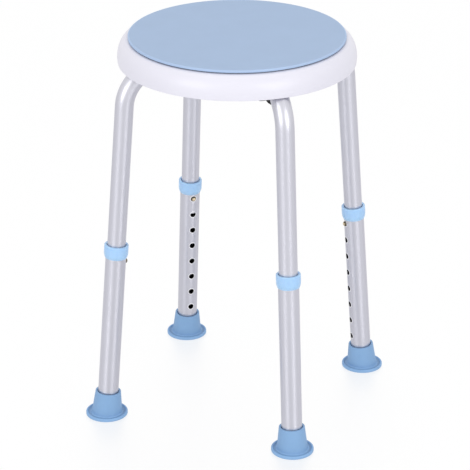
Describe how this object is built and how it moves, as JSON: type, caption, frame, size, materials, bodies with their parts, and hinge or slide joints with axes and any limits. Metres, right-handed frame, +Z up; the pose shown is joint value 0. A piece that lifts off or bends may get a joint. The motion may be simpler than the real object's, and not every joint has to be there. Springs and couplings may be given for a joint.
{
  "type": "shower stool",
  "caption": "Round shower stool: a soft pad that swivels on a white moulded seat, carried by splayed telescopic aluminium legs with snap buttons, collars and flanged rubber feet.",
  "frame": {"origin": "on the floor, below the middle of the seat", "axes": "+Z up along the seat's pivot; +X towards the right leg, -Y towards the front leg, which is the nearest one in the picture"},
  "size_m": [0.4486, 0.4486, 0.53],
  "materials": {
    "white_plastic": "moulded, soft gloss",
    "blue_foam": "closed-cell foam, satin",
    "disc_plastic": "moulded",
    "bearing_plastic": "natural acetal",
    "grey_plastic": "moulded",
    "black_plastic": "moulded",
    "collar_plastic": "moulded, soft gloss",
    "foot_rubber": "matt",
    "tube_aluminium": "satin anodised",
    "brass": "turned",
    "spring_steel": "rolled strip",
    "steel": "zinc plated"
  },
  "bodies": {
    "frame": {"seat_base": "white_plastic", "glide_ring": "bearing_plastic", "pivot_bush": "bearing_plastic", "saddle_screws": "steel", "leg_bolts": "steel", "leg_bolt_washers": "steel", "upper_leg_right": "tube_aluminium", "upper_leg_back": "tube_aluminium", "upper_leg_left": "tube_aluminium", "upper_leg_front": "tube_aluminium", "leg_end_plug_right": "grey_plastic", "leg_end_plug_back": "grey_plastic", "leg_end_plug_left": "grey_plastic", "leg_end_plug_front": "grey_plastic", "leg_saddle_right": "black_plastic", "leg_saddle_back": "black_plastic", "leg_saddle_left": "black_plastic", "leg_saddle_front": "black_plastic", "button_spring_right": "spring_steel", "button_spring_back": "spring_steel", "button_spring_left": "spring_steel", "button_spring_front": "spring_steel"},
    "swivel_seat": {"seat_pad": "blue_foam", "swivel_disc": "disc_plastic", "pivot_bolt": "steel", "thrust_washer": "bearing_plastic", "pivot_washer": "steel", "pivot_nut": "steel"},
    "leg_right": {"lower_leg_right": "tube_aluminium", "leg_collar_right": "collar_plastic", "foot_right": "foot_rubber", "foot_washer_right": "steel"},
    "button_right": {"snap_button_right": "brass"},
    "leg_back": {"lower_leg_back": "tube_aluminium", "leg_collar_back": "collar_plastic", "foot_back": "foot_rubber", "foot_washer_back": "steel"},
    "button_back": {"snap_button_back": "brass"},
    "leg_left": {"lower_leg_left": "tube_aluminium", "leg_collar_left": "collar_plastic", "foot_left": "foot_rubber", "foot_washer_left": "steel"},
    "button_left": {"snap_button_left": "brass"},
    "leg_front": {"lower_leg_front": "tube_aluminium", "leg_collar_front": "collar_plastic", "foot_front": "foot_rubber", "foot_washer_front": "steel"},
    "button_front": {"snap_button_front": "brass"}
  },
  "joints": [
    {"name": "seat_swivel", "type": "hinge", "parent": "frame", "child": "swivel_seat", "pos_m": [0, 0, 0.515], "axis": [0, 0, 1], "continuous": true},
    {"name": "leg_height_right", "type": "slide", "parent": "frame", "child": "leg_right", "axis": [-0.0764, 0, 0.9971], "range_m": [0, 0.1778], "deforming": ["snap_button_right"]},
    {"name": "button_press_right", "type": "slide", "parent": "frame", "child": "button_right", "axis": [0.9971, 0, 0.0764], "range_m": [0, 0.005], "stiffness_N_per_m": 1500, "deforming": ["button_spring_right"]},
    {"name": "leg_height_back", "type": "slide", "parent": "frame", "child": "leg_back", "axis": [0, -0.0764, 0.9971], "range_m": [0, 0.1778], "deforming": ["snap_button_back"]},
    {"name": "button_press_back", "type": "slide", "parent": "frame", "child": "button_back", "axis": [0, 0.9971, 0.0764], "range_m": [0, 0.005], "stiffness_N_per_m": 1500, "deforming": ["button_spring_back"]},
    {"name": "leg_height_left", "type": "slide", "parent": "frame", "child": "leg_left", "axis": [0.0764, 0, 0.9971], "range_m": [0, 0.1778], "deforming": ["snap_button_left"]},
    {"name": "button_press_left", "type": "slide", "parent": "frame", "child": "button_left", "axis": [-0.9971, 0, 0.0764], "range_m": [0, 0.005], "stiffness_N_per_m": 1500, "deforming": ["button_spring_left"]},
    {"name": "leg_height_front", "type": "slide", "parent": "frame", "child": "leg_front", "axis": [0, 0.0764, 0.9971], "range_m": [0, 0.1778], "deforming": ["snap_button_front"]},
    {"name": "button_press_front", "type": "slide", "parent": "frame", "child": "button_front", "axis": [0, -0.9971, 0.0764], "range_m": [0, 0.005], "stiffness_N_per_m": 1500, "deforming": ["button_spring_front"]}
  ]
}
